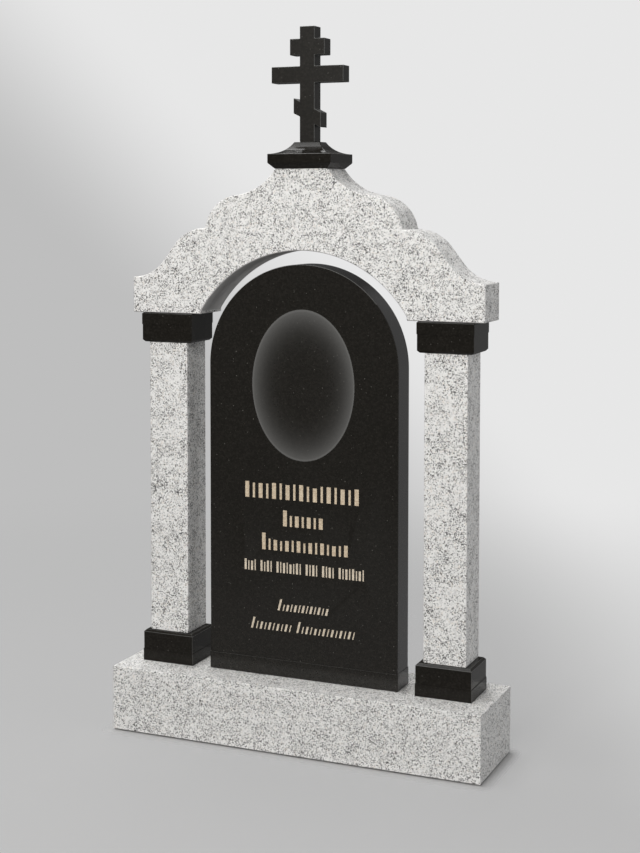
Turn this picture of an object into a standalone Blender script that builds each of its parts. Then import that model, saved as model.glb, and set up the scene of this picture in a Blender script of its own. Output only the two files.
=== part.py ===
"""Granite headstone: an arched stele under a columned lintel that carries an eight-ended cross.

Metres, +Z up. The front faces -Y and left is -X. The origin is the centre of the plinth's underside.
"""
import math

import bmesh
import bpy

# Gap that two touching stones keep
JOINT = 0.0003

# Plinth, the low block that everything stands on
PLINTH_HEIGHT = 0.170
PLINTH_DEPTH = 0.254
PLINTH_END_MARGIN = 0.0474

# Stele, the upright slab with a round head
STELE_WIDTH = 0.517
STELE_THICKNESS = 0.0758
STELE_FOOT_HEIGHT = 0.0435
STELE_SIDE_GAP = 0.047
STELE_CROWN_GAP = 0.035

# Columns, each a base block, a square shaft and a capital
COLUMN_SETBACK = 0.0145
SHAFT_WIDTH = 0.1095
SHAFT_DEPTH = 0.1036
SHAFT_HEIGHT = 0.764
BASE_HEIGHT = 0.082
BASE_FOOT_HEIGHT = 0.031
BASE_SIDE_REVEAL = 0.0182
BASE_FACE_REVEAL = 0.0107
CAPITAL_HEIGHT = 0.0768
CAPITAL_HEAD_HEIGHT = 0.031
CAPITAL_SIDE_REVEAL = 0.0186
CAPITAL_FACE_REVEAL = 0.0087
BLOCK_LEDGE = 0.0012
BLOCK_CHAMFER = 0.0055
CAPITAL_ARRIS = 0.003

# Arch lintel: soffit, end faces, skirt and the shoulder that rises to the crown
LINTEL_OVERHANG = 0.0257
LINTEL_FACE_RECESS = 0.0015
LINTEL_END_HEIGHT = 0.0925
SOFFIT_JAMB = 0.009
SOFFIT_RISE = 0.158
SKIRT_DROP = 0.129
SKIRT_SLOPE = math.radians(52.5)
SHOULDER_RADIUS = 0.1005
SHOULDER_END_SLOPE = math.radians(81.0)
SAG_SLOPE = math.radians(6.0)
COVE_RADIUS = 0.1485
COVE_START_SLOPE = math.radians(56.5)
CROWN_WIDTH = 0.143

# Cross pedestal
PEDESTAL_CHAMFER = 0.0143
PEDESTAL_BAND_HEIGHT = 0.0229
PEDESTAL_FLARE_HEIGHT = 0.0299
PEDESTAL_FLARE_SWEEP = math.radians(60.0)
SEAT_SIDE_REVEAL = 0.015
SEAT_FACE_REVEAL = 0.001

# Cross, measured upward from its foot
POST_WIDTH = 0.040
CROSS_DEPTH = 0.0405
FOOTREST_RISE = 0.0728
FOOTREST_WIDTH = 0.074
FOOTREST_HEIGHT = 0.038
FOOTREST_SLOPE = math.radians(26.0)
MAIN_BAR_RISE = 0.0756
MAIN_BAR_WIDTH = 0.1955
TITLE_BAR_RISE = 0.0277
TITLE_BAR_WIDTH = 0.0942
BAR_HEIGHT = 0.041
POST_HEAD_HEIGHT = 0.0306

# Flat facets that each round stretch is made of
HEAD_FACETS = 48
SOFFIT_FACETS = 40
SHOULDER_FACETS = 14
SKIRT_FACETS = 10
FLARE_FACETS = 8

# A point closer to the middle plane than this lies on it
ON_MIDDLE = 0.000001

# Colours, linear, and how rough each finish is
LIGHT_GRANITE = (0.55, 0.54, 0.52, 1.0)
LIGHT_ROUGHNESS = 0.45
BLACK_GRANITE = (0.014, 0.013, 0.012, 1.0)
BLACK_ROUGHNESS = 0.12


# Plan sizes that follow from the fits
base_width = SHAFT_WIDTH + 2 * BASE_SIDE_REVEAL
base_depth = SHAFT_DEPTH + 2 * BASE_FACE_REVEAL
capital_width = SHAFT_WIDTH + 2 * CAPITAL_SIDE_REVEAL
capital_depth = SHAFT_DEPTH + 2 * CAPITAL_FACE_REVEAL
stele_foot_width = STELE_WIDTH + 2 * BLOCK_LEDGE
column_x = stele_foot_width / 2 + STELE_SIDE_GAP + base_width / 2
plinth_width = 2 * (column_x + base_width / 2 + PLINTH_END_MARGIN)
stele_y = COLUMN_SETBACK + (STELE_THICKNESS - SHAFT_DEPTH) / 2
lintel_depth = capital_depth - 2 * LINTEL_FACE_RECESS
lintel_half_width = column_x + capital_width / 2 + LINTEL_OVERHANG
soffit_half_span = column_x - capital_width / 2 - LINTEL_OVERHANG

# Levels, from the ground up
base_level = PLINTH_HEIGHT + JOINT
shaft_level = base_level + BASE_HEIGHT + JOINT
capital_level = shaft_level + SHAFT_HEIGHT + JOINT
lintel_level = capital_level + CAPITAL_HEIGHT + JOINT
soffit_crown_level = lintel_level + SOFFIT_JAMB + SOFFIT_RISE
shoulder_level = lintel_level + LINTEL_END_HEIGHT + SKIRT_DROP


def granite(name, colour, roughness):
    """A stone material with its colour and polish."""
    material = bpy.data.materials.new(name)
    material.use_nodes = True
    shader = material.node_tree.nodes["Principled BSDF"]
    shader.inputs["Base Color"].default_value = colour
    shader.inputs["Roughness"].default_value = roughness
    shader.inputs["Metallic"].default_value = 0.0
    return material


def add_object(name, mesh_data, material, location):
    """Turns a bmesh into a named object at its place."""
    bmesh.ops.recalc_face_normals(mesh_data, faces=mesh_data.faces)
    mesh = bpy.data.meshes.new(name)
    mesh_data.to_mesh(mesh)
    mesh_data.free()
    mesh.materials.append(material)
    stone = bpy.data.objects.new(name, mesh)
    stone.location = location
    bpy.context.scene.collection.objects.link(stone)
    return stone


def arc(centre_x, centre_z, radius, start, end, facets):
    """Points of a round stretch. Angles turn from straight up towards +X."""
    angles = [start + (end - start) * i / facets for i in range(facets + 1)]
    return [(centre_x + radius * math.sin(a), centre_z + radius * math.cos(a)) for a in angles]


def mirrored(right_half):
    """Closes a symmetric outline from its right half. Points on the middle plane aren't doubled."""
    left_half = [(-x, z) for x, z in reversed(right_half) if x > ON_MIDDLE]
    return right_half + left_half


def slab(name, outline, depth, material, location):
    """A stone with the given front outline, equally deep before and behind its origin."""
    mesh_data = bmesh.new()
    front = [mesh_data.verts.new((x, -depth / 2, z)) for x, z in outline]
    face = mesh_data.faces.new(front)
    swept = bmesh.ops.extrude_face_region(mesh_data, geom=[face])
    back = [item for item in swept["geom"] if isinstance(item, bmesh.types.BMVert)]
    bmesh.ops.translate(mesh_data, verts=back, vec=(0, depth, 0))
    return add_object(name, mesh_data, material, location)


def block(name, width, depth, levels, material, location):
    """A rectangular stone. Each level is its height and how far it is set in at sides and faces."""
    mesh_data = bmesh.new()
    rings = []
    for height, side_inset, face_inset in levels:
        x = width / 2 - side_inset
        y = depth / 2 - face_inset
        corners = [(-x, -y), (x, -y), (x, y), (-x, y)]
        rings.append([mesh_data.verts.new((cx, cy, height)) for cx, cy in corners])
    mesh_data.faces.new(rings[0])
    mesh_data.faces.new(rings[-1])
    for lower, upper in zip(rings, rings[1:]):
        for i in range(4):
            j = (i + 1) % 4
            mesh_data.faces.new((lower[i], lower[j], upper[j], upper[i]))
    return add_object(name, mesh_data, material, location)


def even_levels(pairs):
    """Levels whose inset is the same at the sides and the faces."""
    return [(height, inset, inset) for height, inset in pairs]


def make_plinth(material):
    levels = even_levels([(0.0, 0.0), (PLINTH_HEIGHT, 0.0)])
    block("plinth", plinth_width, PLINTH_DEPTH, levels, material, (0, 0, 0))


def make_column(side, name, shaft_material, block_material):
    """Base block, shaft and capital of one column. The side is -1 at the left and 1 at the right."""
    x = side * column_x
    base_levels = even_levels([
        (0.0, 0.0),
        (BASE_FOOT_HEIGHT - BLOCK_LEDGE, 0.0),
        (BASE_FOOT_HEIGHT, BLOCK_LEDGE),
        (BASE_HEIGHT - BLOCK_CHAMFER, BLOCK_LEDGE),
        (BASE_HEIGHT, BLOCK_LEDGE + BLOCK_CHAMFER),
    ])
    place = (x, COLUMN_SETBACK, base_level)
    block(name + "_column_base", base_width, base_depth, base_levels, block_material, place)

    shaft_levels = even_levels([(0.0, 0.0), (SHAFT_HEIGHT, 0.0)])
    place = (x, COLUMN_SETBACK, shaft_level)
    block(name + "_column_shaft", SHAFT_WIDTH, SHAFT_DEPTH, shaft_levels, shaft_material, place)

    head_bottom = CAPITAL_HEIGHT - CAPITAL_HEAD_HEIGHT
    capital_levels = even_levels([
        (0.0, BLOCK_LEDGE + BLOCK_CHAMFER),
        (BLOCK_CHAMFER, BLOCK_LEDGE),
        (head_bottom, BLOCK_LEDGE),
        (head_bottom + BLOCK_LEDGE, 0.0),
        (CAPITAL_HEIGHT - CAPITAL_ARRIS, 0.0),
        (CAPITAL_HEIGHT, CAPITAL_ARRIS),
    ])
    place = (x, COLUMN_SETBACK, capital_level)
    block(name + "_capital", capital_width, capital_depth, capital_levels, block_material, place)


def make_stele(material):
    """The slab's head is a half circle a crown gap below the soffit. A low foot stands a ledge proud."""
    top = soffit_crown_level - STELE_CROWN_GAP - base_level
    half_width = STELE_WIDTH / 2
    head = arc(0.0, top - half_width, half_width, 0.0, math.pi / 2, HEAD_FACETS // 2)
    outline = mirrored(head + [(half_width, STELE_FOOT_HEIGHT / 2)])
    place = (0, stele_y, base_level)
    stele = slab("stele", outline, STELE_THICKNESS, material, place)

    foot_depth = STELE_THICKNESS + 2 * BLOCK_LEDGE
    foot_levels = even_levels([
        (0.0, 0.0),
        (STELE_FOOT_HEIGHT - BLOCK_LEDGE, 0.0),
        (STELE_FOOT_HEIGHT + BLOCK_LEDGE, 2 * BLOCK_LEDGE),
    ])
    foot = block("stele_foot_form", stele_foot_width, foot_depth, foot_levels, material, place)
    foot.hide_render = True
    foot.display_type = "WIRE"
    join = stele.modifiers.new("foot", "BOOLEAN")
    join.operation = "UNION"
    join.solver = "EXACT"
    join.object = foot


def shoulder_and_cove():
    """The upper stretch of the lintel's right half: a cove from the crown's corner, then a round."""
    crown_x = CROWN_WIDTH / 2
    cove_x = crown_x + COVE_RADIUS * math.sin(COVE_START_SLOPE)
    round_x = cove_x - (COVE_RADIUS + SHOULDER_RADIUS) * math.sin(SAG_SLOPE)
    round_z = shoulder_level - SHOULDER_RADIUS * math.cos(SHOULDER_END_SLOPE)
    cove_z = round_z + (COVE_RADIUS + SHOULDER_RADIUS) * math.cos(SAG_SLOPE)
    start = math.pi + COVE_START_SLOPE
    end = math.pi + SAG_SLOPE
    cove = arc(cove_x, cove_z, COVE_RADIUS, start, end, SHOULDER_FACETS)
    bend = arc(round_x, round_z, SHOULDER_RADIUS, SAG_SLOPE, SHOULDER_END_SLOPE, SHOULDER_FACETS)
    return cove + bend[1:]


def skirt(start_x, end_x):
    """The lower stretch: level at the shoulder, steepest half way down, level at the end face.

    Two equal rounds with a straight between them. The slope is limited by where the straight runs out.
    """
    run = end_x - start_x
    slope = min(SKIRT_SLOPE, 2 * math.atan(SKIRT_DROP / run))
    radii = (run * math.sin(slope) - SKIRT_DROP * math.cos(slope)) / (1 - math.cos(slope))
    radius = radii / 2
    end_z = shoulder_level - SKIRT_DROP
    upper = arc(start_x, shoulder_level - radius, radius, 0.0, slope, SKIRT_FACETS)
    lower = arc(end_x, end_z + radius, radius, math.pi + slope, math.pi, SKIRT_FACETS)
    return upper + lower


def soffit():
    """Right half of the arch under the lintel, from the springing to the crown."""
    radius = (soffit_half_span**2 + SOFFIT_RISE**2) / (2 * SOFFIT_RISE)
    half_angle = math.asin(soffit_half_span / radius)
    centre_z = soffit_crown_level - radius
    curve = arc(0.0, centre_z, radius, half_angle, 0.0, SOFFIT_FACETS // 2)
    return [(soffit_half_span, lintel_level)] + curve


def make_lintel(material):
    """One stone. Its shoulder ends where the skirt starts, so that corner is listed once."""
    upper = shoulder_and_cove()
    ledge_x = upper[-1][0]
    edge = upper[:-1] + skirt(ledge_x, lintel_half_width) + [(lintel_half_width, lintel_level)]
    outline = [(x, z - lintel_level) for x, z in mirrored(edge + soffit())]
    place = (0, COLUMN_SETBACK, lintel_level)
    slab("arch_lintel", outline, lintel_depth, material, place)
    return upper[0][1]


def make_pedestal(crown_level, material):
    """Chamfered below, a plain band, then hollow flanks that rise to the seat of the cross."""
    width = CROWN_WIDTH + 2 * PEDESTAL_CHAMFER
    depth = lintel_depth + 2 * PEDESTAL_CHAMFER
    side_run = width / 2 - POST_WIDTH / 2 - SEAT_SIDE_REVEAL
    face_run = depth / 2 - CROSS_DEPTH / 2 - SEAT_FACE_REVEAL
    band_top = PEDESTAL_CHAMFER + PEDESTAL_BAND_HEIGHT
    levels = [(0.0, PEDESTAL_CHAMFER, PEDESTAL_CHAMFER), (PEDESTAL_CHAMFER, 0.0, 0.0)]
    for i in range(FLARE_FACETS + 1):
        angle = PEDESTAL_FLARE_SWEEP * i / FLARE_FACETS
        inward = math.sin(angle) / math.sin(PEDESTAL_FLARE_SWEEP)
        upward = (1 - math.cos(angle)) / (1 - math.cos(PEDESTAL_FLARE_SWEEP))
        height = band_top + PEDESTAL_FLARE_HEIGHT * upward
        levels.append((height, side_run * inward, face_run * inward))
    place = (0, COLUMN_SETBACK, crown_level + JOINT)
    block("cross_pedestal", width, depth, levels, material, place)
    return crown_level + JOINT + band_top + PEDESTAL_FLARE_HEIGHT


def cross_side(side):
    """One flank of the cross from its foot to its head. The footrest is higher at the left."""
    post = side * POST_WIDTH / 2
    tip = side * FOOTREST_WIDTH / 2
    fall = math.tan(FOOTREST_SLOPE)
    half = FOOTREST_HEIGHT / 2
    main_bottom = FOOTREST_RISE + MAIN_BAR_RISE
    main_top = main_bottom + BAR_HEIGHT
    title_bottom = main_top + TITLE_BAR_RISE
    title_top = title_bottom + BAR_HEIGHT
    head = title_top + POST_HEAD_HEIGHT
    main_tip = side * MAIN_BAR_WIDTH / 2
    title_tip = side * TITLE_BAR_WIDTH / 2
    return [
        (post, 0.0),
        (post, FOOTREST_RISE - fall * post - half),
        (tip, FOOTREST_RISE - fall * tip - half),
        (tip, FOOTREST_RISE - fall * tip + half),
        (post, FOOTREST_RISE - fall * post + half),
        (post, main_bottom),
        (main_tip, main_bottom),
        (main_tip, main_top),
        (post, main_top),
        (post, title_bottom),
        (title_tip, title_bottom),
        (title_tip, title_top),
        (post, title_top),
        (post, head),
    ]


def make_cross(seat_level, material):
    outline = cross_side(1) + list(reversed(cross_side(-1)))
    place = (0, COLUMN_SETBACK, seat_level + JOINT)
    slab("cross", outline, CROSS_DEPTH, material, place)


def main():
    for item in list(bpy.context.scene.objects):
        bpy.data.objects.remove(item)
    light = granite("light_granite", LIGHT_GRANITE, LIGHT_ROUGHNESS)
    black = granite("black_granite", BLACK_GRANITE, BLACK_ROUGHNESS)
    make_plinth(light)
    for side, name in ((-1, "left"), (1, "right")):
        make_column(side, name, light, black)
    make_stele(black)
    crown_level = make_lintel(light)
    seat_level = make_pedestal(crown_level, black)
    make_cross(seat_level, black)


main()
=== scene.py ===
"""Granite headstone: a polished black stele under a light lintel on columns, with a cross on top.

Metres, +Z up. The front faces -Y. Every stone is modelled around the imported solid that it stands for.
"""
import math
import random

import bmesh
import bpy
from mathutils import Matrix, Vector


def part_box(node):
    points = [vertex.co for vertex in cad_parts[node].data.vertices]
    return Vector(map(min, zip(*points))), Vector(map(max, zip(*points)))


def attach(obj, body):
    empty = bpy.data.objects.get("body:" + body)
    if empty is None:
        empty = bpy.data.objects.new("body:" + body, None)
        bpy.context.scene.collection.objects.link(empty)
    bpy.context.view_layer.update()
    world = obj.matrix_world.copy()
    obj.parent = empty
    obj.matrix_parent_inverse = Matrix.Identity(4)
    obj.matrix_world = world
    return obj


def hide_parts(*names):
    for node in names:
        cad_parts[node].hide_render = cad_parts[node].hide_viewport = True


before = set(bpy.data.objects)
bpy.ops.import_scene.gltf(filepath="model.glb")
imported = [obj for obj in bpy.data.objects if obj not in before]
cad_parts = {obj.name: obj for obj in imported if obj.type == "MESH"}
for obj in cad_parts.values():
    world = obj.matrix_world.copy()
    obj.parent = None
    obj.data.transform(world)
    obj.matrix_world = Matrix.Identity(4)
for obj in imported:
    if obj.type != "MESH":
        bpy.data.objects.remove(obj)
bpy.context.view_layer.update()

BODY = "root"

# Arrises, the narrow flats ground along a stone's edges
LINTEL_ARRIS = 0.0018
LIGHT_ARRIS = 0.0010
BLACK_ARRIS = 0.0010
BLOCK_ARRIS = 0.0005
STELE_ARRIS = 0.0014
SHARP_EDGE = math.radians(30.0)

# Faces that meet at less than this angle are shaded as one. Points nearer than WELD are the same
SMOOTH_ANGLE = math.radians(20.0)
WELD = 0.00001

# Material slots of the ground finish and of the plain grey, which is painted shade on the lintel's downward
# faces
GROUND_SLOT = 1
SOFFIT_SHADE_SLOT = 1
# Slot of the stele's ground grey, kept only where it faces up: a painted highlight
STELE_GROUND_HIGHLIGHT_SLOT = 3

# Part of a face's normal along an axis, from which on it counts as turned down, turned up or square on
TURNED_DOWN = -0.1
TURNED_UP = 0.45
SQUARE_ON = 0.9

# Narrow rebate along the plinth's bottom edge
PLINTH_REBATE_HEIGHT = 0.0035
PLINTH_REBATE_DEPTH = 0.012

# Base and capital blocks
BASE_FOOT_HEIGHT = 0.031
CAPITAL_HEAD_HEIGHT = 0.031
BLOCK_LEDGE = 0.0012
BLOCK_CHAMFER = 0.0055
CAPITAL_ARRIS = 0.003

# Lintel outline
LINTEL_END_HEIGHT = 0.0925
SOFFIT_INSET = 0.0257
SOFFIT_JAMB = 0.009
SOFFIT_RISE = 0.158
SKIRT_DROP = 0.129
SKIRT_SLOPE = math.radians(52.5)
SHOULDER_RADIUS = 0.1005
SHOULDER_END_SLOPE = math.radians(81.0)
SAG_SLOPE = math.radians(6.0)
COVE_RADIUS = 0.1485
COVE_START_SLOPE = math.radians(56.5)
CROWN_WIDTH = 0.143
COVE_STEPS = 28
SHOULDER_STEPS = 32
SKIRT_STEPS = 20
SOFFIT_STEPS = 48

# Stele
STELE_FOOT_HEIGHT = 0.0435
HEAD_STEPS = 48

# Pedestal
PEDESTAL_CHAMFER = 0.0143
PEDESTAL_BAND_HEIGHT = 0.0229
FLARE_SWEEP = math.radians(60.0)
FLARE_STEPS = 20
SEAT_SIDE_REVEAL = 0.015
SEAT_FACE_REVEAL = 0.001

# Cross, measured upward from its foot
POST_WIDTH = 0.040
FOOTREST_RISE = 0.0728
FOOTREST_WIDTH = 0.074
FOOTREST_HEIGHT = 0.038
FOOTREST_SLOPE = math.radians(26.0)
MAIN_BAR_RISE = 0.0756
TITLE_BAR_RISE = 0.0277
TITLE_BAR_WIDTH = 0.0942
BAR_HEIGHT = 0.041

# Matte oval on the stele's front: its middle and half sizes, where it ends and where its rim starts
# as shares of those, how steeply it fades inwards, and between which depths the finish ends
OVAL_X = 0.002
OVAL_Z = 0.921
OVAL_HALF_WIDTH = 0.140
OVAL_HALF_HEIGHT = 0.192
OVAL_END = (0.992, 1.004)
OVAL_RIM = (0.965, 0.985)
OVAL_FADE = 5.2
OVAL_DEPTH = (0.002, 0.003)

# Rows of gilded strokes: middle height, left and right end, tall and low stroke, strokes in each
# group, stroke width, lean in degrees, and the slot of the gilding
STROKE_ROWS = [
    {"z": 0.648, "left": -0.162, "right": 0.158, "tall": 0.041, "low": 0.041, "groups": [17],
     "width": 0.0110, "lean": 0, "gilding": 1},
    {"z": 0.580, "left": -0.055, "right": 0.060, "tall": 0.041, "low": 0.028, "groups": [7],
     "width": 0.0105, "lean": 0, "gilding": 1},
    {"z": 0.517, "left": -0.114, "right": 0.128, "tall": 0.043, "low": 0.029, "groups": [15],
     "width": 0.0099, "lean": 0, "gilding": 1},
    {"z": 0.453, "left": -0.162, "right": 0.171, "tall": 0.028, "low": 0.028, "groups": [4, 4, 8, 4, 4, 8],
     "width": 0.0058, "lean": 0, "gilding": 2},
    {"z": 0.356, "left": -0.0665, "right": 0.074, "tall": 0.029, "low": 0.019, "groups": [13],
     "width": 0.0058, "lean": 14, "gilding": 2},
    {"z": 0.303, "left": -0.142, "right": 0.147, "tall": 0.029, "low": 0.019, "groups": [10, 14],
     "width": 0.0055, "lean": 14, "gilding": 2},
]

# Depth of a cut, seed of the random heights, width of every second stroke against the first, the
# shares of its height that a low stroke may have, and the shares of a stroke that its ridge keeps
STROKE_CUT = 0.0005
STROKE_SEED = 11
THIN_STROKE = 0.55
LOW_STROKE_SHARES = (1.0, 1.0, 0.86, 0.93)
RIDGE_WIDTH = 0.12
RIDGE_HEIGHT = 0.8

# Light granites: a factor on crystal size, how far drifts thin or thicken the black mica, about what
# share of the crystals isn't mica, and how dark the threads of mica are
COARSE_GRANITE = {"grain": 0.79, "drift": 0.40, "pale_share": 0.92, "threads": 0.75}
FINE_GRANITE = {"grain": 0.74, "drift": 0.25, "pale_share": 0.902, "threads": 0.40}

# How many of each there are to the metre in the light granites, before the factor on crystal size
PALE_CRYSTALS = 190.0
MICA_FLECKS = 330.0
MICA_GRIT = 470.0
THREAD_CELLS = 150.0
THREAD_BREAKS = 210.0

# How many of each there are to the metre, with no such factor
DRIFTS = 42.0
SOFFIT_CLOUDS = 40.0
DARK_CRYSTALS = 260.0
BRIGHT_SPECKS = 230.0
PECKS = 900.0
GILDING_CLOUDS = 260.0

# How often to the metre, and how far, crystals are pushed off a regular pattern. The light granites
# take the factor here too
LIGHT_PUSHES = 150.0
BLACK_PUSHES = 140.0
PUSH_REACH = 0.006

# Between which values a crystal turns warm, one turns into a bright speck, a thread of mica thins out
# from the edge of its cell, a thread is broken off, and a bright speck ends
WARM_START = (0.88, 0.92)
SPECK_START = (0.972, 0.985)
THREAD_REACH = (0.08, 0.12)
THREAD_START = (0.58, 0.62)
SPECK_REACH = (0.2, 0.34)

# Colours of the stones and the gilding
FELDSPAR_AND_QUARTZ = [
    (0.0, (0.56, 0.555, 0.55, 1.0)),
    (0.12, (0.72, 0.715, 0.705, 1.0)),
    (0.28, (0.82, 0.815, 0.80, 1.0)),
    (1.0, (0.90, 0.895, 0.88, 1.0)),
]
WARM_FELDSPAR = (0.74, 0.64, 0.54, 1.0)
MICA_THREAD = (0.060, 0.058, 0.057, 1.0)
BLACK_MICA = (0.024, 0.023, 0.024, 1.0)
# Plain darker greys for the lintel's downward faces: painted shade under the arch
SOFFIT_SHADE_GREYS = [(0.3, (0.50, 0.49, 0.48, 1.0)), (0.7, (0.60, 0.59, 0.58, 1.0))]
DARK_STONE = [
    (0.0, (0.0108, 0.0098, 0.0080, 1.0)),
    (0.6, (0.0140, 0.0126, 0.0105, 1.0)),
    (1.0, (0.0190, 0.0172, 0.0145, 1.0)),
]
SPECK_GREY = (0.135, 0.130, 0.118, 1.0)
GROUND_AND_HIGHLIGHT_GREY = (0.09, 0.09, 0.086, 1.0)
PECKED_GREY = (0.112, 0.111, 0.107, 1.0)
GOLD = [(0.3, (0.60, 0.47, 0.33, 1.0)), (0.7, (0.83, 0.71, 0.53, 1.0))]
PALE_GOLD = [(0.3, (0.66, 0.56, 0.44, 1.0)), (0.7, (0.88, 0.78, 0.62, 1.0))]

# Specular levels of the polished black stones, and how much rougher the cross is
BLACK_GLOSS = 0.12
CROSS_GLOSS = 0.22
STELE_GLOSS = 0.42
CROSS_DULLING = 0.20


def clear_selection():
    bpy.ops.object.select_all(action="DESELECT")


def edit(piece, mode):
    """Opens the piece for editing, with vertices, edges or faces to pick."""
    clear_selection()
    bpy.context.view_layer.objects.active = piece
    piece.select_set(True)
    bpy.ops.object.mode_set(mode="EDIT")
    bpy.ops.mesh.select_mode(type=mode)


def close():
    bpy.ops.object.mode_set(mode="OBJECT")


def settle(piece):
    """Puts the piece's place into its mesh."""
    clear_selection()
    bpy.context.view_layer.objects.active = piece
    piece.select_set(True)
    bpy.ops.object.transform_apply(location=True, rotation=True, scale=True)


def apply_modifier(piece, modifier):
    clear_selection()
    bpy.context.view_layer.objects.active = piece
    piece.select_set(True)
    bpy.ops.object.modifier_apply(modifier=modifier.name)


def pick_faces(piece, wanted):
    """Selects the faces whose middle and normal pass the test."""
    mesh = bmesh.from_edit_mesh(piece.data)
    for face in mesh.faces:
        face.select_set(False)
    for face in mesh.faces:
        if wanted(face.calc_center_median(), face.normal):
            face.select_set(True)
    bmesh.update_edit_mesh(piece.data)


def new_block(name, low, high):
    """A block between two corners."""
    clear_selection()
    bpy.ops.mesh.primitive_cube_add(size=1, location=(low + high) / 2)
    piece = bpy.context.active_object
    piece.name = name
    piece.scale = high - low
    settle(piece)
    return piece


def new_flat(name, width, depth, place):
    """A flat rectangle, the start of a block that is raised from its bottom."""
    clear_selection()
    bpy.ops.mesh.primitive_plane_add(size=1, location=place)
    piece = bpy.context.active_object
    piece.name = name
    piece.scale = (width, depth, 1)
    settle(piece)
    return piece


def new_point(name, place):
    """One vertex, the start of an outline that is drawn by extrusion and spin."""
    clear_selection()
    bpy.ops.mesh.primitive_plane_add(size=0.01, location=place)
    piece = bpy.context.active_object
    piece.name = name
    settle(piece)
    edit(piece, "VERT")
    bpy.ops.mesh.select_all(action="SELECT")
    bpy.ops.mesh.merge(type="CENTER")
    return piece


def draw_to(piece, x, z):
    """Extrudes the outline's last vertex to a new place."""
    mesh = bmesh.from_edit_mesh(piece.data)
    last = [vertex.co.copy() for vertex in mesh.verts if vertex.select][0]
    bpy.ops.mesh.extrude_region_move(TRANSFORM_OT_translate={"value": (x - last.x, 0, z - last.z)})


def draw_round(x, z, y, turn, steps):
    """Spins the outline's last vertex about a centre. A positive turn goes from up towards +X."""
    bpy.ops.mesh.spin(steps=steps, angle=turn, center=(x, y, z), axis=(0, -1, 0))


def close_outline(piece, depth):
    """Mirrors a half outline, fills it and gives the stone its depth."""
    close()
    mirror = piece.modifiers.new("mirror", "MIRROR")
    mirror.use_mirror_merge = True
    mirror.merge_threshold = WELD
    apply_modifier(piece, mirror)
    edit(piece, "EDGE")
    bpy.ops.mesh.select_all(action="SELECT")
    bpy.ops.mesh.edge_face_add()
    bpy.ops.mesh.select_all(action="SELECT")
    bpy.ops.mesh.extrude_region_move(TRANSFORM_OT_translate={"value": (0, depth, 0)})
    bpy.ops.mesh.select_all(action="SELECT")
    bpy.ops.mesh.normals_make_consistent(inside=False)
    close()


def grind_arrises(piece, width, finish=0):
    """Takes the sharpness off every edge. Finish is the material slot that the narrow flats take."""
    bevel = piece.modifiers.new("arris", "BEVEL")
    bevel.width = width
    bevel.segments = 1
    bevel.material = finish
    bevel.limit_method = "ANGLE"
    bevel.angle_limit = SHARP_EDGE
    apply_modifier(piece, bevel)


def hand_over(piece, node):
    """Smooths the rounded faces, and the finished stone takes its node's place."""
    clear_selection()
    bpy.context.view_layer.objects.active = piece
    piece.select_set(True)
    bpy.ops.object.shade_smooth_by_angle(angle=SMOOTH_ANGLE)
    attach(piece, BODY)
    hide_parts(node)


def dress(piece, *materials):
    """Gives the stone its finishes. Every face keeps the first until something else is said."""
    piece.data.materials.clear()
    for material in materials:
        piece.data.materials.append(material)


def widen_end(piece, level, above, low, high, finish=0):
    """Widens the stone above or below a level until it fills its box.

    This leaves a narrow ledge, and finish is the material slot that the ledge takes.
    """
    edit(piece, "FACE")
    bpy.ops.mesh.select_all(action="SELECT")
    bpy.ops.mesh.bisect(plane_co=(0, 0, level), plane_no=(0, 0, 1))
    pick_faces(piece, lambda middle, normal: (middle.z > level) == above)
    bpy.ops.mesh.extrude_region_move(TRANSFORM_OT_translate={"value": (0, 0, 0)})
    width = high.x - low.x
    depth = high.y - low.y
    growth = (width / (width - 2 * BLOCK_LEDGE), depth / (depth - 2 * BLOCK_LEDGE), 1)
    bpy.ops.transform.resize(value=growth, center_override=(low + high) / 2)
    pick_faces(piece, lambda middle, normal: abs(middle.z - level) < WELD)
    piece.active_material_index = finish
    bpy.ops.object.material_slot_assign()
    bpy.ops.mesh.select_all(action="SELECT")
    bpy.ops.mesh.normals_make_consistent(inside=False)
    close()


def raise_course(rise, width, depth, last, place):
    """Raises the picked top to the next level and gives it a new size."""
    bpy.ops.mesh.extrude_region_move(TRANSFORM_OT_translate={"value": (0, 0, rise)})
    bpy.ops.transform.resize(value=(width / last[0], depth / last[1], 1), center_override=place)


def stacked_block(name, low, high, levels):
    """A rectangular stone raised level by level. A level is its height and what it is set in by."""
    width = high.x - low.x
    depth = high.y - low.y
    x = (low.x + high.x) / 2
    y = (low.y + high.y) / 2
    sizes = [(height, width - 2 * side, depth - 2 * face) for height, side, face in levels]
    piece = new_flat(name, sizes[0][1], sizes[0][2], (x, y, low.z + sizes[0][0]))
    edit(piece, "FACE")
    bpy.ops.mesh.select_all(action="SELECT")
    for below, above in zip(sizes, sizes[1:]):
        place = (x, y, low.z + above[0])
        raise_course(above[0] - below[0], above[1], above[2], (below[1], below[2]), place)
    bpy.ops.mesh.select_all(action="SELECT")
    bpy.ops.mesh.normals_make_consistent(inside=False)
    close()
    return piece


def make_plinth(material):
    """A squared block whose bottom edge is cut back, which shows as a thin dark line."""
    low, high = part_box("plinth")
    levels = [
        (0.0, PLINTH_REBATE_DEPTH, PLINTH_REBATE_DEPTH),
        (PLINTH_REBATE_HEIGHT, PLINTH_REBATE_DEPTH, PLINTH_REBATE_DEPTH),
        (PLINTH_REBATE_HEIGHT, 0.0, 0.0),
        (high.z - low.z, 0.0, 0.0),
    ]
    piece = stacked_block("plinth_stone", low, high, levels)
    dress(piece, material)
    grind_arrises(piece, LIGHT_ARRIS)
    hand_over(piece, "plinth")


def make_shaft(node, material):
    """A squared shaft with ground arrises."""
    low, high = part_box(node)
    piece = new_block(node + "_stone", low, high)
    dress(piece, material)
    grind_arrises(piece, LIGHT_ARRIS)
    hand_over(piece, node)


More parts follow.
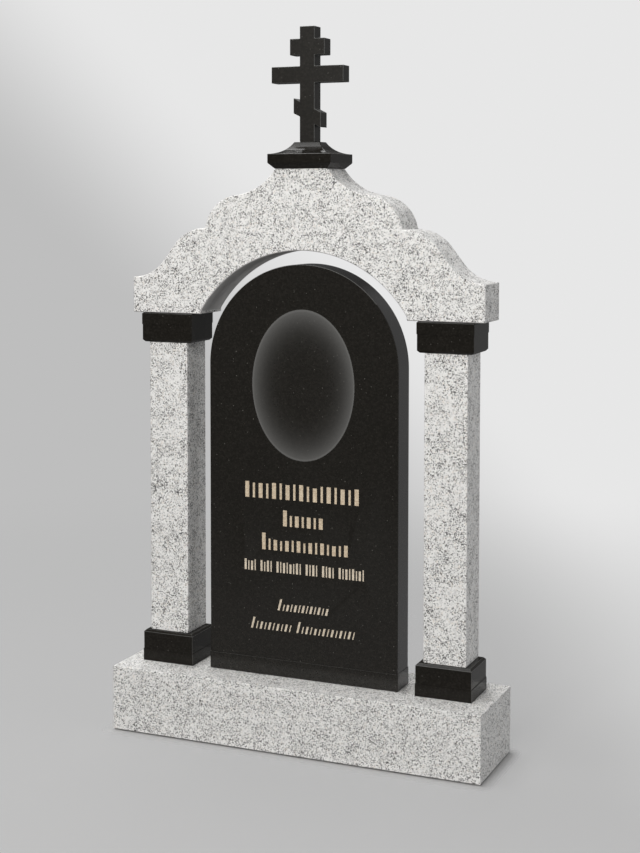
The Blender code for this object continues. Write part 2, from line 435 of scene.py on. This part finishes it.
def make_column_base(node, polished, ground):
    """A black block with a chamfered top and a foot that stands a millimetre proud."""
    low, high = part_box(node)
    top = high.z - low.z
    levels = [
        (0.0, BLOCK_LEDGE, BLOCK_LEDGE),
        (top - BLOCK_CHAMFER, BLOCK_LEDGE, BLOCK_LEDGE),
        (top, BLOCK_LEDGE + BLOCK_CHAMFER, BLOCK_LEDGE + BLOCK_CHAMFER),
    ]
    piece = stacked_block(node + "_stone", low, high, levels)
    dress(piece, polished, ground)
    grind_arrises(piece, BLOCK_ARRIS, GROUND_SLOT)
    widen_end(piece, low.z + BASE_FOOT_HEIGHT, False, low, high)
    hand_over(piece, node)


def make_capital(node, polished):
    """A black block with a chamfered underside and a head that stands a millimetre proud."""
    low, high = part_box(node)
    top = high.z - low.z
    inset = BLOCK_LEDGE + BLOCK_CHAMFER
    levels = [
        (0.0, inset, inset),
        (BLOCK_CHAMFER, BLOCK_LEDGE, BLOCK_LEDGE),
        (top - CAPITAL_ARRIS, BLOCK_LEDGE, BLOCK_LEDGE),
        (top, BLOCK_LEDGE + CAPITAL_ARRIS, BLOCK_LEDGE + CAPITAL_ARRIS),
    ]
    piece = stacked_block(node + "_stone", low, high, levels)
    dress(piece, polished)
    grind_arrises(piece, BLOCK_ARRIS)
    widen_end(piece, high.z - CAPITAL_HEAD_HEIGHT, True, low, high)
    hand_over(piece, node)


def make_pedestal(polished, ground):
    """A chamfered block with a plain band and hollow flanks up to the seat of the cross.

    It is polished but for the arrises along the top of the band, whose ground grey is a painted highlight
    along that edge.
    """
    low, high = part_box("cross_pedestal")
    post_low, post_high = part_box("cross")
    band_top = PEDESTAL_CHAMFER + PEDESTAL_BAND_HEIGHT
    rise = high.z - low.z - band_top
    side_run = (high.x - low.x - POST_WIDTH) / 2 - SEAT_SIDE_REVEAL
    face_run = (high.y - low.y - (post_high.y - post_low.y)) / 2 - SEAT_FACE_REVEAL
    levels = [(0.0, PEDESTAL_CHAMFER, PEDESTAL_CHAMFER), (PEDESTAL_CHAMFER, 0.0, 0.0)]
    for i in range(FLARE_STEPS + 1):
        angle = FLARE_SWEEP * i / FLARE_STEPS
        inward = math.sin(angle) / math.sin(FLARE_SWEEP)
        upward = (1 - math.cos(angle)) / (1 - math.cos(FLARE_SWEEP))
        levels.append((band_top + rise * upward, side_run * inward, face_run * inward))
    piece = stacked_block("cross_pedestal_stone", low, high, levels)
    dress(piece, polished, ground)
    grind_arrises(piece, BLACK_ARRIS, GROUND_SLOT)
    # Only the arrises at the top of the band keep the ground grey, a painted highlight; the rest turn back
    # to polished
    for face in piece.data.polygons:
        off_band = abs(face.center.z - low.z - band_top) > 2 * BLACK_ARRIS
        if face.material_index == GROUND_SLOT and off_band:
            face.material_index = 0
    hand_over(piece, "cross_pedestal")


def make_lintel(honed, plain):
    """One stone with an arched soffit, a flat crown, coved shoulders and a falling skirt.

    Its front is honed, and all that faces down takes a plain darker grey, painted shade under the arch.
    """
    low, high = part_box("arch_lintel")
    front = low.y
    end_x = high.x
    end_z = low.z + LINTEL_END_HEIGHT
    shoulder_z = end_z + SKIRT_DROP
    crown_x = CROWN_WIDTH / 2
    cove_x = crown_x + COVE_RADIUS * math.sin(COVE_START_SLOPE)
    round_x = cove_x - (COVE_RADIUS + SHOULDER_RADIUS) * math.sin(SAG_SLOPE)
    round_z = shoulder_z - SHOULDER_RADIUS * math.cos(SHOULDER_END_SLOPE)
    cove_z = round_z + (COVE_RADIUS + SHOULDER_RADIUS) * math.cos(SAG_SLOPE)
    ledge_x = round_x + SHOULDER_RADIUS * math.sin(SHOULDER_END_SLOPE)
    run = end_x - ledge_x
    double_radius = run * math.sin(SKIRT_SLOPE) - SKIRT_DROP * math.cos(SKIRT_SLOPE)
    radius = double_radius / (1 - math.cos(SKIRT_SLOPE)) / 2
    lower_x = end_x - radius * math.sin(SKIRT_SLOPE)
    lower_z = end_z + radius * (1 - math.cos(SKIRT_SLOPE))
    capital_low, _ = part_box("right_capital")
    span = capital_low.x - SOFFIT_INSET
    soffit_radius = (span**2 + SOFFIT_RISE**2) / (2 * SOFFIT_RISE)
    soffit_top = low.z + SOFFIT_JAMB + SOFFIT_RISE

    piece = new_point("arch_lintel_stone", (0, front, high.z))
    draw_to(piece, crown_x, high.z)
    draw_round(cove_x, cove_z, front, SAG_SLOPE - COVE_START_SLOPE, COVE_STEPS)
    draw_round(round_x, round_z, front, SHOULDER_END_SLOPE - SAG_SLOPE, SHOULDER_STEPS)
    draw_round(ledge_x, shoulder_z - radius, front, SKIRT_SLOPE, SKIRT_STEPS)
    draw_to(piece, lower_x, lower_z)
    draw_round(end_x, end_z + radius, front, -SKIRT_SLOPE, SKIRT_STEPS)
    draw_to(piece, end_x, low.z)
    draw_to(piece, span, low.z)
    draw_to(piece, span, low.z + SOFFIT_JAMB)
    draw_round(0, soffit_top - soffit_radius, front, -math.asin(span / soffit_radius), SOFFIT_STEPS)
    close_outline(piece, high.y - low.y)
    dress(piece, honed, plain)
    grind_arrises(piece, LINTEL_ARRIS)
    # Faces turned down take the plain darker grey: painted shade under the arch and on its lower arrises
    for face in piece.data.polygons:
        if face.normal.z < TURNED_DOWN:
            face.material_index = SOFFIT_SHADE_SLOT
    hand_over(piece, "arch_lintel")


def make_cross(polished, ground):
    """The post, with its three bars drawn out of its flanks. The footrest falls to the right."""
    low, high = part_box("cross")
    half_post = POST_WIDTH / 2
    post_low = Vector((-half_post, low.y, low.z))
    post_high = Vector((half_post, high.y, high.z))
    piece = new_block("cross_stone", post_low, post_high)
    main_bottom = low.z + FOOTREST_RISE + MAIN_BAR_RISE
    main_top = main_bottom + BAR_HEIGHT
    title_bottom = main_top + TITLE_BAR_RISE
    title_top = title_bottom + BAR_HEIGHT
    rest_bottom = low.z + FOOTREST_RISE - FOOTREST_HEIGHT / 2
    rest_top = low.z + FOOTREST_RISE + FOOTREST_HEIGHT / 2
    fall = math.tan(FOOTREST_SLOPE)
    cuts = [(z, (0, 0, 1)) for z in (main_bottom, main_top, title_bottom, title_top)]
    slant = (math.sin(FOOTREST_SLOPE), 0, math.cos(FOOTREST_SLOPE))
    cuts += [(rest_bottom, slant), (rest_top, slant)]
    edit(piece, "FACE")
    for z, normal in cuts:
        bpy.ops.mesh.select_all(action="SELECT")
        bpy.ops.mesh.bisect(plane_co=(0, 0, z), plane_no=normal)
    bars = [
        (main_bottom, main_top, high.x - half_post, 0.0),
        (title_bottom, title_top, TITLE_BAR_WIDTH / 2 - half_post, 0.0),
        (rest_bottom, rest_top, FOOTREST_WIDTH / 2 - half_post, fall),
    ]
    for side in (-1, 1):
        for bottom, top, reach, slope in bars:
            level = -side * half_post * slope
            pick_faces(piece, lambda middle, normal: normal.x * side > SQUARE_ON
                       and abs(middle.x - side * half_post) < WELD
                       and bottom + level < middle.z < top + level)
            move = (side * reach, 0, -side * reach * slope)
            bpy.ops.mesh.extrude_region_move(TRANSFORM_OT_translate={"value": move})
    bpy.ops.mesh.select_all(action="SELECT")
    bpy.ops.mesh.normals_make_consistent(inside=False)
    close()
    dress(piece, polished, ground)
    grind_arrises(piece, BLACK_ARRIS, GROUND_SLOT)
    hand_over(piece, "cross")


def new_stroke_tool():
    """A chisel cut one unit wide and high: a flat pad that tapers to a ridge behind the face."""
    tool = new_block("stroke_tool", Vector((-0.5, -0.5, -0.5)), Vector((0.5, 0.0, 0.5)))
    edit(tool, "FACE")
    pick_faces(tool, lambda middle, normal: normal.y > SQUARE_ON)
    bpy.ops.mesh.extrude_region_move(TRANSFORM_OT_translate={"value": (0, 1, 0)})
    bpy.ops.transform.resize(value=(RIDGE_WIDTH, 1, RIDGE_HEIGHT), center_override=(0, 1, 0))
    bpy.ops.mesh.select_all(action="SELECT")
    bpy.ops.mesh.normals_make_consistent(inside=False)
    close()
    return tool


def place_strokes(tool, row, front, dice):
    """Copies of the tool along one row, in groups, standing on one base line."""
    groups = row["groups"]
    pitch = (row["right"] - row["left"]) / (sum(groups) + len(groups) - 1)
    base = row["z"] - row["tall"] / 2
    shear = math.tan(math.radians(row["lean"]))
    x = row["left"] + pitch / 2
    copies = []
    for count in groups:
        for i in range(count):
            height = row["tall"] if i == 0 else row["low"] * dice.choice(LOW_STROKE_SHARES)
            width = row["width"] * (1.0 if i % 2 == 0 else THIN_STROKE)
            stroke = tool.copy()
            stroke.data = tool.data.copy()
            bpy.context.scene.collection.objects.link(stroke)
            size = Matrix.Diagonal((width, STROKE_CUT, height, 1.0))
            lean = Matrix.Identity(4)
            lean[0][2] = shear
            place = Matrix.Translation((x, front, base + height / 2))
            stroke.data.transform(place @ lean @ size)
            for face in stroke.data.polygons:
                face.material_index = row["gilding"]
            copies.append(stroke)
            x += pitch
        x += pitch
    return copies


def cut_strokes(piece, front, finishes):
    """Cuts the rows into the polished face and leaves the cuts gilded."""
    dice = random.Random(STROKE_SEED)
    tool = new_stroke_tool()
    dress(tool, *finishes)
    copies = []
    for row in STROKE_ROWS:
        copies += place_strokes(tool, row, front, dice)
    bpy.data.objects.remove(tool)
    clear_selection()
    for stroke in copies:
        stroke.select_set(True)
    cutter = copies[0]
    bpy.context.view_layer.objects.active = cutter
    bpy.ops.object.join()
    cut = piece.modifiers.new("strokes", "BOOLEAN")
    cut.operation = "DIFFERENCE"
    cut.solver = "EXACT"
    cut.object = cutter
    apply_modifier(piece, cut)
    bpy.data.objects.remove(cutter)


def make_stele(*finishes):
    """A slab with a half-round head and a foot that stands a millimetre proud, inscribed on its front.

    Its finishes are the stone, the gilding, the pale gilding and the ground stone. The ground grey is kept
    on the ledge of the foot and on the arrises over the head that face up, as a painted highlight.
    """
    low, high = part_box("stele")
    half_width = (high.x - low.x) / 2 - BLOCK_LEDGE
    front = low.y + BLOCK_LEDGE
    back = high.y - BLOCK_LEDGE
    piece = new_point("stele_stone", (0, front, high.z))
    draw_round(0, high.z - half_width, front, math.pi / 2, HEAD_STEPS)
    draw_to(piece, half_width, low.z)
    draw_to(piece, 0, low.z)
    close_outline(piece, back - front)
    dress(piece, *finishes)
    grind_arrises(piece, STELE_ARRIS, STELE_GROUND_HIGHLIGHT_SLOT)
    # Only upward arrises keep the ground grey, a painted highlight where the top light falls on them
    for face in piece.data.polygons:
        if face.material_index == STELE_GROUND_HIGHLIGHT_SLOT and face.normal.z < TURNED_UP:
            face.material_index = 0
    # The foot's ledge takes the ground grey too, a painted highlight along it
    widen_end(piece, low.z + STELE_FOOT_HEIGHT, False, low, high, STELE_GROUND_HIGHLIGHT_SLOT)
    cut_strokes(piece, front, finishes)
    hand_over(piece, "stele")


def add_node(tree, kind, values=None, **settings):
    """A shader node, its settings, and its sockets set to a value or joined to another node's output."""
    node = tree.nodes.new(kind)
    for name, value in settings.items():
        setattr(node, name, value)
    for name, value in (values or {}).items():
        if isinstance(value, bpy.types.NodeSocket):
            tree.links.new(value, node.inputs[name])
        else:
            node.inputs[name].default_value = value
    return node


def maths(tree, operation, first, second=0.0):
    return add_node(tree, "ShaderNodeMath", {0: first, 1: second}, operation=operation).outputs[0]


def opposite(tree, share):
    """One less the share."""
    return maths(tree, "SUBTRACT", 1.0, share)


def vector_maths(tree, operation, first, second=(0.0, 0.0, 0.0)):
    """Works on places and directions. A length or a dot product comes out as one number."""
    node = add_node(tree, "ShaderNodeVectorMath", {0: first, 1: second}, operation=operation)
    return node.outputs["Value" if operation in ("LENGTH", "DOT_PRODUCT") else "Vector"]


def clouds(tree, place, scale, detail=2.0):
    """Soft random patches, so many to the metre."""
    values = {"Vector": place, "Scale": scale, "Detail": detail}
    return add_node(tree, "ShaderNodeTexNoise", values).outputs["Fac"]


def step_up(tree, value, low, high):
    """Rises smoothly from 0 to 1 between two values."""
    values = {"Value": value, "From Min": low, "From Max": high}
    return add_node(tree, "ShaderNodeMapRange", values, interpolation_type="SMOOTHSTEP").outputs["Result"]


def blend_colours(tree, share, first, second):
    node = add_node(tree, "ShaderNodeMix", data_type="RGBA")
    for socket, value in zip((node.inputs[0], node.inputs[6], node.inputs[7]), (share, first, second)):
        if isinstance(value, bpy.types.NodeSocket):
            tree.links.new(value, socket)
        else:
            socket.default_value = value
    return node.outputs[2]


def ramp(tree, value, stops):
    node = add_node(tree, "ShaderNodeValToRGB", {"Fac": value})
    colours = node.color_ramp
    colours.elements[0].position = stops[0][0]
    colours.elements[0].color = stops[0][1]
    colours.elements[1].position = stops[-1][0]
    colours.elements[1].color = stops[-1][1]
    for position, colour in stops[1:-1]:
        colours.elements.new(position).color = colour
    return node.outputs["Color"]


def new_finish(name):
    material = bpy.data.materials.new(name)
    material.use_nodes = True
    return material, material.node_tree, material.node_tree.nodes["Principled BSDF"]


def uneven_place(tree, scale, reach):
    """Object coordinates, plain and pushed about a little, so that grains aren't regular cells."""
    place = add_node(tree, "ShaderNodeTexCoord").outputs["Object"]
    noise = add_node(tree, "ShaderNodeTexNoise", {"Vector": place, "Scale": scale, "Detail": 2.0})
    centred = vector_maths(tree, "SUBTRACT", noise.outputs["Color"], (0.5, 0.5, 0.5))
    push = add_node(tree, "ShaderNodeVectorMath", {0: centred, "Scale": reach}, operation="SCALE")
    return place, vector_maths(tree, "ADD", place, push.outputs["Vector"])


def grains(tree, place, scale):
    """Crystals of one size: two random numbers for each, and the distance from its middle."""
    cells = add_node(tree, "ShaderNodeTexVoronoi", {"Vector": place, "Scale": scale})
    parts = add_node(tree, "ShaderNodeSeparateColor", {"Color": cells.outputs["Color"]})
    return parts.outputs[0], parts.outputs[1], cells.outputs["Distance"]


def make_light_granite(name, kind):
    """Honed pale granite: milky feldspar, grey quartz and black mica.

    The mica is single crystals of two sizes and short threads between the pale ones.
    """
    grain = kind["grain"]
    pale_share = kind["pale_share"]
    material, tree, shader = new_finish(name)
    place, grain_place = uneven_place(tree, LIGHT_PUSHES / grain, PUSH_REACH * grain)
    tone, tint, _ = grains(tree, grain_place, PALE_CRYSTALS / grain)
    body = ramp(tree, tone, FELDSPAR_AND_QUARTZ)
    warm = step_up(tree, tint, *WARM_START)
    body = blend_colours(tree, maths(tree, "MULTIPLY", warm, 0.30), body, WARM_FELDSPAR)

    drift = maths(tree, "SUBTRACT", clouds(tree, place, DRIFTS), 0.5)
    drift = maths(tree, "MULTIPLY", drift, kind["drift"])
    chance, _, _ = grains(tree, grain_place, MICA_FLECKS / grain)
    fleck = step_up(tree, maths(tree, "ADD", chance, drift), pale_share, pale_share + 0.02)
    chance, _, _ = grains(tree, place, MICA_GRIT / grain)
    grit = step_up(tree, maths(tree, "ADD", chance, drift), pale_share - 0.035, pale_share - 0.015)
    fleck = maths(tree, "MAXIMUM", fleck, grit)

    values = {"Vector": grain_place, "Scale": THREAD_CELLS / grain}
    cells = add_node(tree, "ShaderNodeTexVoronoi", values, feature="DISTANCE_TO_EDGE")
    thread = opposite(tree, step_up(tree, cells.outputs["Distance"], *THREAD_REACH))
    breaks = clouds(tree, place, THREAD_BREAKS / grain)
    breaks = maths(tree, "ADD", breaks, maths(tree, "MULTIPLY", drift, 0.5))
    thread = maths(tree, "MULTIPLY", thread, step_up(tree, breaks, *THREAD_START))
    body = blend_colours(tree, maths(tree, "MULTIPLY", thread, kind["threads"]), body, MICA_THREAD)
    body = blend_colours(tree, maths(tree, "MULTIPLY", fleck, 0.97), body, BLACK_MICA)
    tree.links.new(body, shader.inputs["Base Color"])

    rough = maths(tree, "ADD", maths(tree, "MULTIPLY", tone, 0.14), 0.36)
    rough = maths(tree, "SUBTRACT", rough, maths(tree, "MULTIPLY", fleck, 0.12))
    tree.links.new(rough, shader.inputs["Roughness"])
    relief = add_node(tree, "ShaderNodeBump", {"Strength": 0.25, "Distance": 0.0002, "Height": tone})
    tree.links.new(relief.outputs["Normal"], shader.inputs["Normal"])
    shader.inputs["Specular IOR Level"].default_value = 0.35
    return material


def make_shaded_soffit_granite():
    """The light granite's soffit: a plain grey, darker than the granite and with no crystals to be seen,
    painted shade under the arch.
    """
    material, tree, shader = new_finish("soffit_granite_painted_shade_finish")
    place = add_node(tree, "ShaderNodeTexCoord").outputs["Object"]
    colour = ramp(tree, clouds(tree, place, SOFFIT_CLOUDS, 3.0), SOFFIT_SHADE_GREYS)
    tree.links.new(colour, shader.inputs["Base Color"])
    shader.inputs["Roughness"].default_value = 0.6
    shader.inputs["Specular IOR Level"].default_value = 0.3
    return material


def black_stone(name, gloss):
    """Polished black granite: a dense dark body, faint lighter crystals and a sparse bright speck."""
    material, tree, shader = new_finish(name)
    place, grain_place = uneven_place(tree, BLACK_PUSHES, PUSH_REACH)
    tone, tint, _ = grains(tree, grain_place, DARK_CRYSTALS)
    body = ramp(tree, tone, DARK_STONE)
    chance, _, distance = grains(tree, grain_place, BRIGHT_SPECKS)
    middle = opposite(tree, step_up(tree, distance, *SPECK_REACH))
    speck = maths(tree, "MULTIPLY", step_up(tree, chance, *SPECK_START), middle)
    body = blend_colours(tree, maths(tree, "MULTIPLY", speck, 0.7), body, SPECK_GREY)
    rough = maths(tree, "ADD", maths(tree, "MULTIPLY", tint, 0.05), 0.14)
    shader.inputs["Specular IOR Level"].default_value = gloss
    return material, tree, shader, place, body, rough


def make_black_granite():
    """The stone of the bases, the capitals and the pedestal."""
    material, tree, shader, _, body, rough = black_stone("black_granite_finish", BLACK_GLOSS)
    tree.links.new(body, shader.inputs["Base Color"])
    tree.links.new(rough, shader.inputs["Roughness"])
    return material


def make_cross_granite():
    """The same stone, less polished, so that the cross looks a little greyer."""
    material, tree, shader, _, body, rough = black_stone("cross_granite_finish", CROSS_GLOSS)
    tree.links.new(body, shader.inputs["Base Color"])
    tree.links.new(maths(tree, "ADD", rough, CROSS_DULLING), shader.inputs["Roughness"])
    return material


def make_ground_and_highlight_granite():
    """Black granite that is ground and not polished, which turns it grey. On the stele's upward arrises and
    the pedestal's band it is also a painted highlight.
    """
    material, tree, shader = new_finish("ground_granite_and_highlight_finish")
    shader.inputs["Base Color"].default_value = GROUND_AND_HIGHLIGHT_GREY
    shader.inputs["Roughness"].default_value = 0.5
    shader.inputs["Specular IOR Level"].default_value = 0.4
    return material


def make_stele_granite(front):
    """Polished black granite with an oval on its front, pecked matte and pale at the rim, fading inwards."""
    shallow, deep = OVAL_DEPTH
    material, tree, shader, place, body, rough = black_stone("stele_granite_finish", STELE_GLOSS)
    axes = add_node(tree, "ShaderNodeSeparateXYZ", {"Vector": place})
    across = maths(tree, "DIVIDE", maths(tree, "SUBTRACT", axes.outputs["X"], OVAL_X), OVAL_HALF_WIDTH)
    up = maths(tree, "DIVIDE", maths(tree, "SUBTRACT", axes.outputs["Z"], OVAL_Z), OVAL_HALF_HEIGHT)
    squares = maths(tree, "ADD", maths(tree, "MULTIPLY", across, across), maths(tree, "MULTIPLY", up, up))
    reach = maths(tree, "SQRT", squares)
    inside = opposite(tree, step_up(tree, reach, *OVAL_END))
    on_front = opposite(tree, step_up(tree, axes.outputs["Y"], front + shallow, front + deep))
    field = maths(tree, "MULTIPLY", inside, on_front)
    fade = maths(tree, "POWER", reach, OVAL_FADE)
    pecks = maths(tree, "MULTIPLY", clouds(tree, place, PECKS, 1.0), 0.5)
    frost = maths(tree, "MULTIPLY", fade, maths(tree, "ADD", pecks, 0.75))
    rim = maths(tree, "MULTIPLY", step_up(tree, reach, *OVAL_RIM), 0.30)
    frost = maths(tree, "MULTIPLY", field, maths(tree, "ADD", frost, rim))
    body = blend_colours(tree, maths(tree, "MULTIPLY", frost, 0.85), body, PECKED_GREY)
    tree.links.new(body, shader.inputs["Base Color"])
    dull = maths(tree, "MULTIPLY", field, maths(tree, "ADD", maths(tree, "MULTIPLY", fade, 0.35), 0.10))
    tree.links.new(maths(tree, "ADD", rough, dull), shader.inputs["Roughness"])
    return material


def make_gilding(name, golds):
    """Gilded cuts, a little uneven in tone."""
    material, tree, shader = new_finish(name)
    place = add_node(tree, "ShaderNodeTexCoord").outputs["Object"]
    cloud = clouds(tree, place, GILDING_CLOUDS)
    tree.links.new(ramp(tree, cloud, golds), shader.inputs["Base Color"])
    rough = maths(tree, "ADD", maths(tree, "MULTIPLY", cloud, 0.2), 0.36)
    tree.links.new(rough, shader.inputs["Roughness"])
    shader.inputs["Metallic"].default_value = 0.25
    return material


# Floor: its size, how far it lies below the plinth, how solid it is, how far from the plinth it
# stops being wholly solid, and between which distances it fades out
FLOOR_RADIUS = 4.0
FLOOR_SIDES = 96
FLOOR_DROP = 0.0003
FLOOR_GREY = (0.45, 0.45, 0.45, 1.0)
FLOOR_SOLID = 0.35
FLOOR_CONTACT = 0.035
FLOOR_FADE_START = 0.9
FLOOR_FADE_END = FLOOR_RADIUS - 0.3

# Studio light from the left and the right, and between which directions the one turns to the other
STUDIO_LIGHT_LEFT = 0.09
STUDIO_LIGHT_RIGHT = 0.29
STUDIO_LIGHT_TURN = (-0.10, 0.12)

# Backdrop: its dim and bright tone, and between which directions it brightens towards the upper
# right and towards the middle
BACKDROP_LOW = 0.515
BACKDROP_HIGH = 0.80
BACKDROP_RISE = (-0.126, 0.0)
BACKDROP_MIDDLE = (0.72, 0.9)

CAMERA_PLACE = (1.571, -3.653, 1.392)
CAMERA_TURN = (math.radians(86.663), 0.0, math.radians(23.802))
CAMERA_LENS = 66.5
CAMERA_SHIFT = (0.0314, -0.16)
SENSOR_WIDTH = 36.0

# Lamps: where each hangs, what it points at, its two sizes, its power in watts and its colour
LAMPS = {
    "key": {"place": (0.2, -4.8, 3.4), "aim": (0, 0, 0.9), "size": (2.6, 2.0), "power": 211.0,
            "colour": (1.0, 0.985, 0.965)},
    "top": {"place": (-1.6, 0.1, 5.4), "aim": (-1.3, 0.1, 0.9), "size": (4.2, 2.2), "power": 180.0,
            "colour": (1.0, 1.0, 1.0)},
    "side": {"place": (5.0, -0.2, 1.8), "aim": (0, 0, 0.9), "size": (2.6, 2.6), "power": 35.0,
             "colour": (0.98, 0.985, 1.0)},
    "back": {"place": (-1.0, 3.2, 4.6), "aim": (0, 0, 0.9), "size": (2.0, 2.0), "power": 36.0,
             "colour": (1.0, 1.0, 1.0)},
}


def make_floor():
    """A pale floor, solid where the plinth stands on it, that thins out to the backdrop around it."""
    clear_selection()
    bpy.ops.mesh.primitive_circle_add(vertices=FLOOR_SIDES, radius=FLOOR_RADIUS, fill_type="NGON",
                                      location=(0, 0, -FLOOR_DROP))
    floor = bpy.context.active_object
    floor.name = "floor"
    settle(floor)
    material, tree, shader = new_finish("floor_finish")
    place = add_node(tree, "ShaderNodeTexCoord").outputs["Object"]
    _, plinth_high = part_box("plinth")
    past = vector_maths(tree, "SUBTRACT", vector_maths(tree, "ABSOLUTE", place), plinth_high)
    gap = vector_maths(tree, "LENGTH", vector_maths(tree, "MAXIMUM", past))
    shader.inputs["Base Color"].default_value = FLOOR_GREY
    shader.inputs["Roughness"].default_value = 0.9
    shader.inputs["Specular IOR Level"].default_value = 0.0
    distance = vector_maths(tree, "LENGTH", place)
    near = opposite(tree, step_up(tree, distance, FLOOR_FADE_START, FLOOR_FADE_END))
    touching = opposite(tree, step_up(tree, gap, 0.0, FLOOR_CONTACT))
    solid = maths(tree, "ADD", maths(tree, "MULTIPLY", touching, 1.0 - FLOOR_SOLID), FLOOR_SOLID)
    tree.links.new(maths(tree, "MULTIPLY", near, solid), shader.inputs["Alpha"])
    floor.data.materials.append(material)


def make_world():
    """Soft studio light, dimmer from the left. The backdrop seen brightens towards the upper right."""
    world = bpy.data.worlds.new("studio")
    bpy.context.scene.world = world
    world.use_nodes = True
    tree = world.node_tree
    direction = add_node(tree, "ShaderNodeTexCoord").outputs["Generated"]
    turn = CAMERA_TURN[2]
    right = Vector((math.cos(turn), math.sin(turn), 0))
    away = Vector((-math.sin(turn), math.cos(turn), 0))
    slope = (right + Vector((0, 0, 1))).normalized()
    rise = vector_maths(tree, "DOT_PRODUCT", direction, slope)
    facing = vector_maths(tree, "DOT_PRODUCT", direction, away)
    bright = step_up(tree, rise, *BACKDROP_RISE)
    near = step_up(tree, facing, *BACKDROP_MIDDLE)
    level = maths(tree, "MULTIPLY", maths(tree, "MULTIPLY", bright, near), BACKDROP_HIGH - BACKDROP_LOW)
    level = maths(tree, "ADD", level, BACKDROP_LOW)
    axes = add_node(tree, "ShaderNodeSeparateXYZ", {"Vector": direction})
    light = step_up(tree, axes.outputs["X"], *STUDIO_LIGHT_TURN)
    light = maths(tree, "MULTIPLY", light, STUDIO_LIGHT_RIGHT - STUDIO_LIGHT_LEFT)
    light = maths(tree, "ADD", light, STUDIO_LIGHT_LEFT)
    seen = add_node(tree, "ShaderNodeLightPath").outputs["Is Camera Ray"]
    level = maths(tree, "MULTIPLY", maths(tree, "SUBTRACT", level, light), seen)
    level = maths(tree, "ADD", level, light)
    background = tree.nodes["Background"]
    tree.links.new(level, background.inputs["Strength"])
    background.inputs["Color"].default_value = (1.0, 1.0, 1.0, 1.0)


def make_lamps():
    for name, setting in LAMPS.items():
        lamp = bpy.data.lights.new(name, "AREA")
        lamp.shape = "RECTANGLE"
        lamp.size, lamp.size_y = setting["size"]
        lamp.energy = setting["power"]
        lamp.color = setting["colour"]
        light = bpy.data.objects.new(name, lamp)
        light.location = setting["place"]
        aim = Vector(setting["aim"]) - Vector(setting["place"])
        light.rotation_euler = aim.to_track_quat("-Z", "Y").to_euler()
        bpy.context.scene.collection.objects.link(light)


def make_camera():
    lens = bpy.data.cameras.new("camera")
    lens.lens = CAMERA_LENS
    lens.sensor_width = SENSOR_WIDTH
    lens.shift_x = CAMERA_SHIFT[0]
    lens.shift_y = CAMERA_SHIFT[1]
    camera = bpy.data.objects.new("camera", lens)
    camera.location = CAMERA_PLACE
    camera.rotation_euler = CAMERA_TURN
    bpy.context.scene.collection.objects.link(camera)
    bpy.context.scene.camera = camera


def main():
    bpy.context.scene.view_settings.view_transform = "Standard"
    light = make_light_granite("light_granite_finish", COARSE_GRANITE)
    fine = make_light_granite("plinth_granite_finish", FINE_GRANITE)
    soffit = make_shaded_soffit_granite()
    black = make_black_granite()
    ground = make_ground_and_highlight_granite()
    stele_low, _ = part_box("stele")
    stele_stone = make_stele_granite(stele_low.y + BLOCK_LEDGE)
    gilding = make_gilding("gilding_finish", GOLD)
    pale_gilding = make_gilding("pale_gilding_finish", PALE_GOLD)
    make_plinth(fine)
    for side in ("left", "right"):
        make_shaft(side + "_column_shaft", light)
        make_column_base(side + "_column_base", black, ground)
        make_capital(side + "_capital", black)
    make_lintel(light, soffit)
    make_stele(stele_stone, gilding, pale_gilding, ground)
    make_pedestal(black, ground)
    make_cross(make_cross_granite(), ground)
    make_floor()
    make_world()
    make_lamps()
    make_camera()


main()
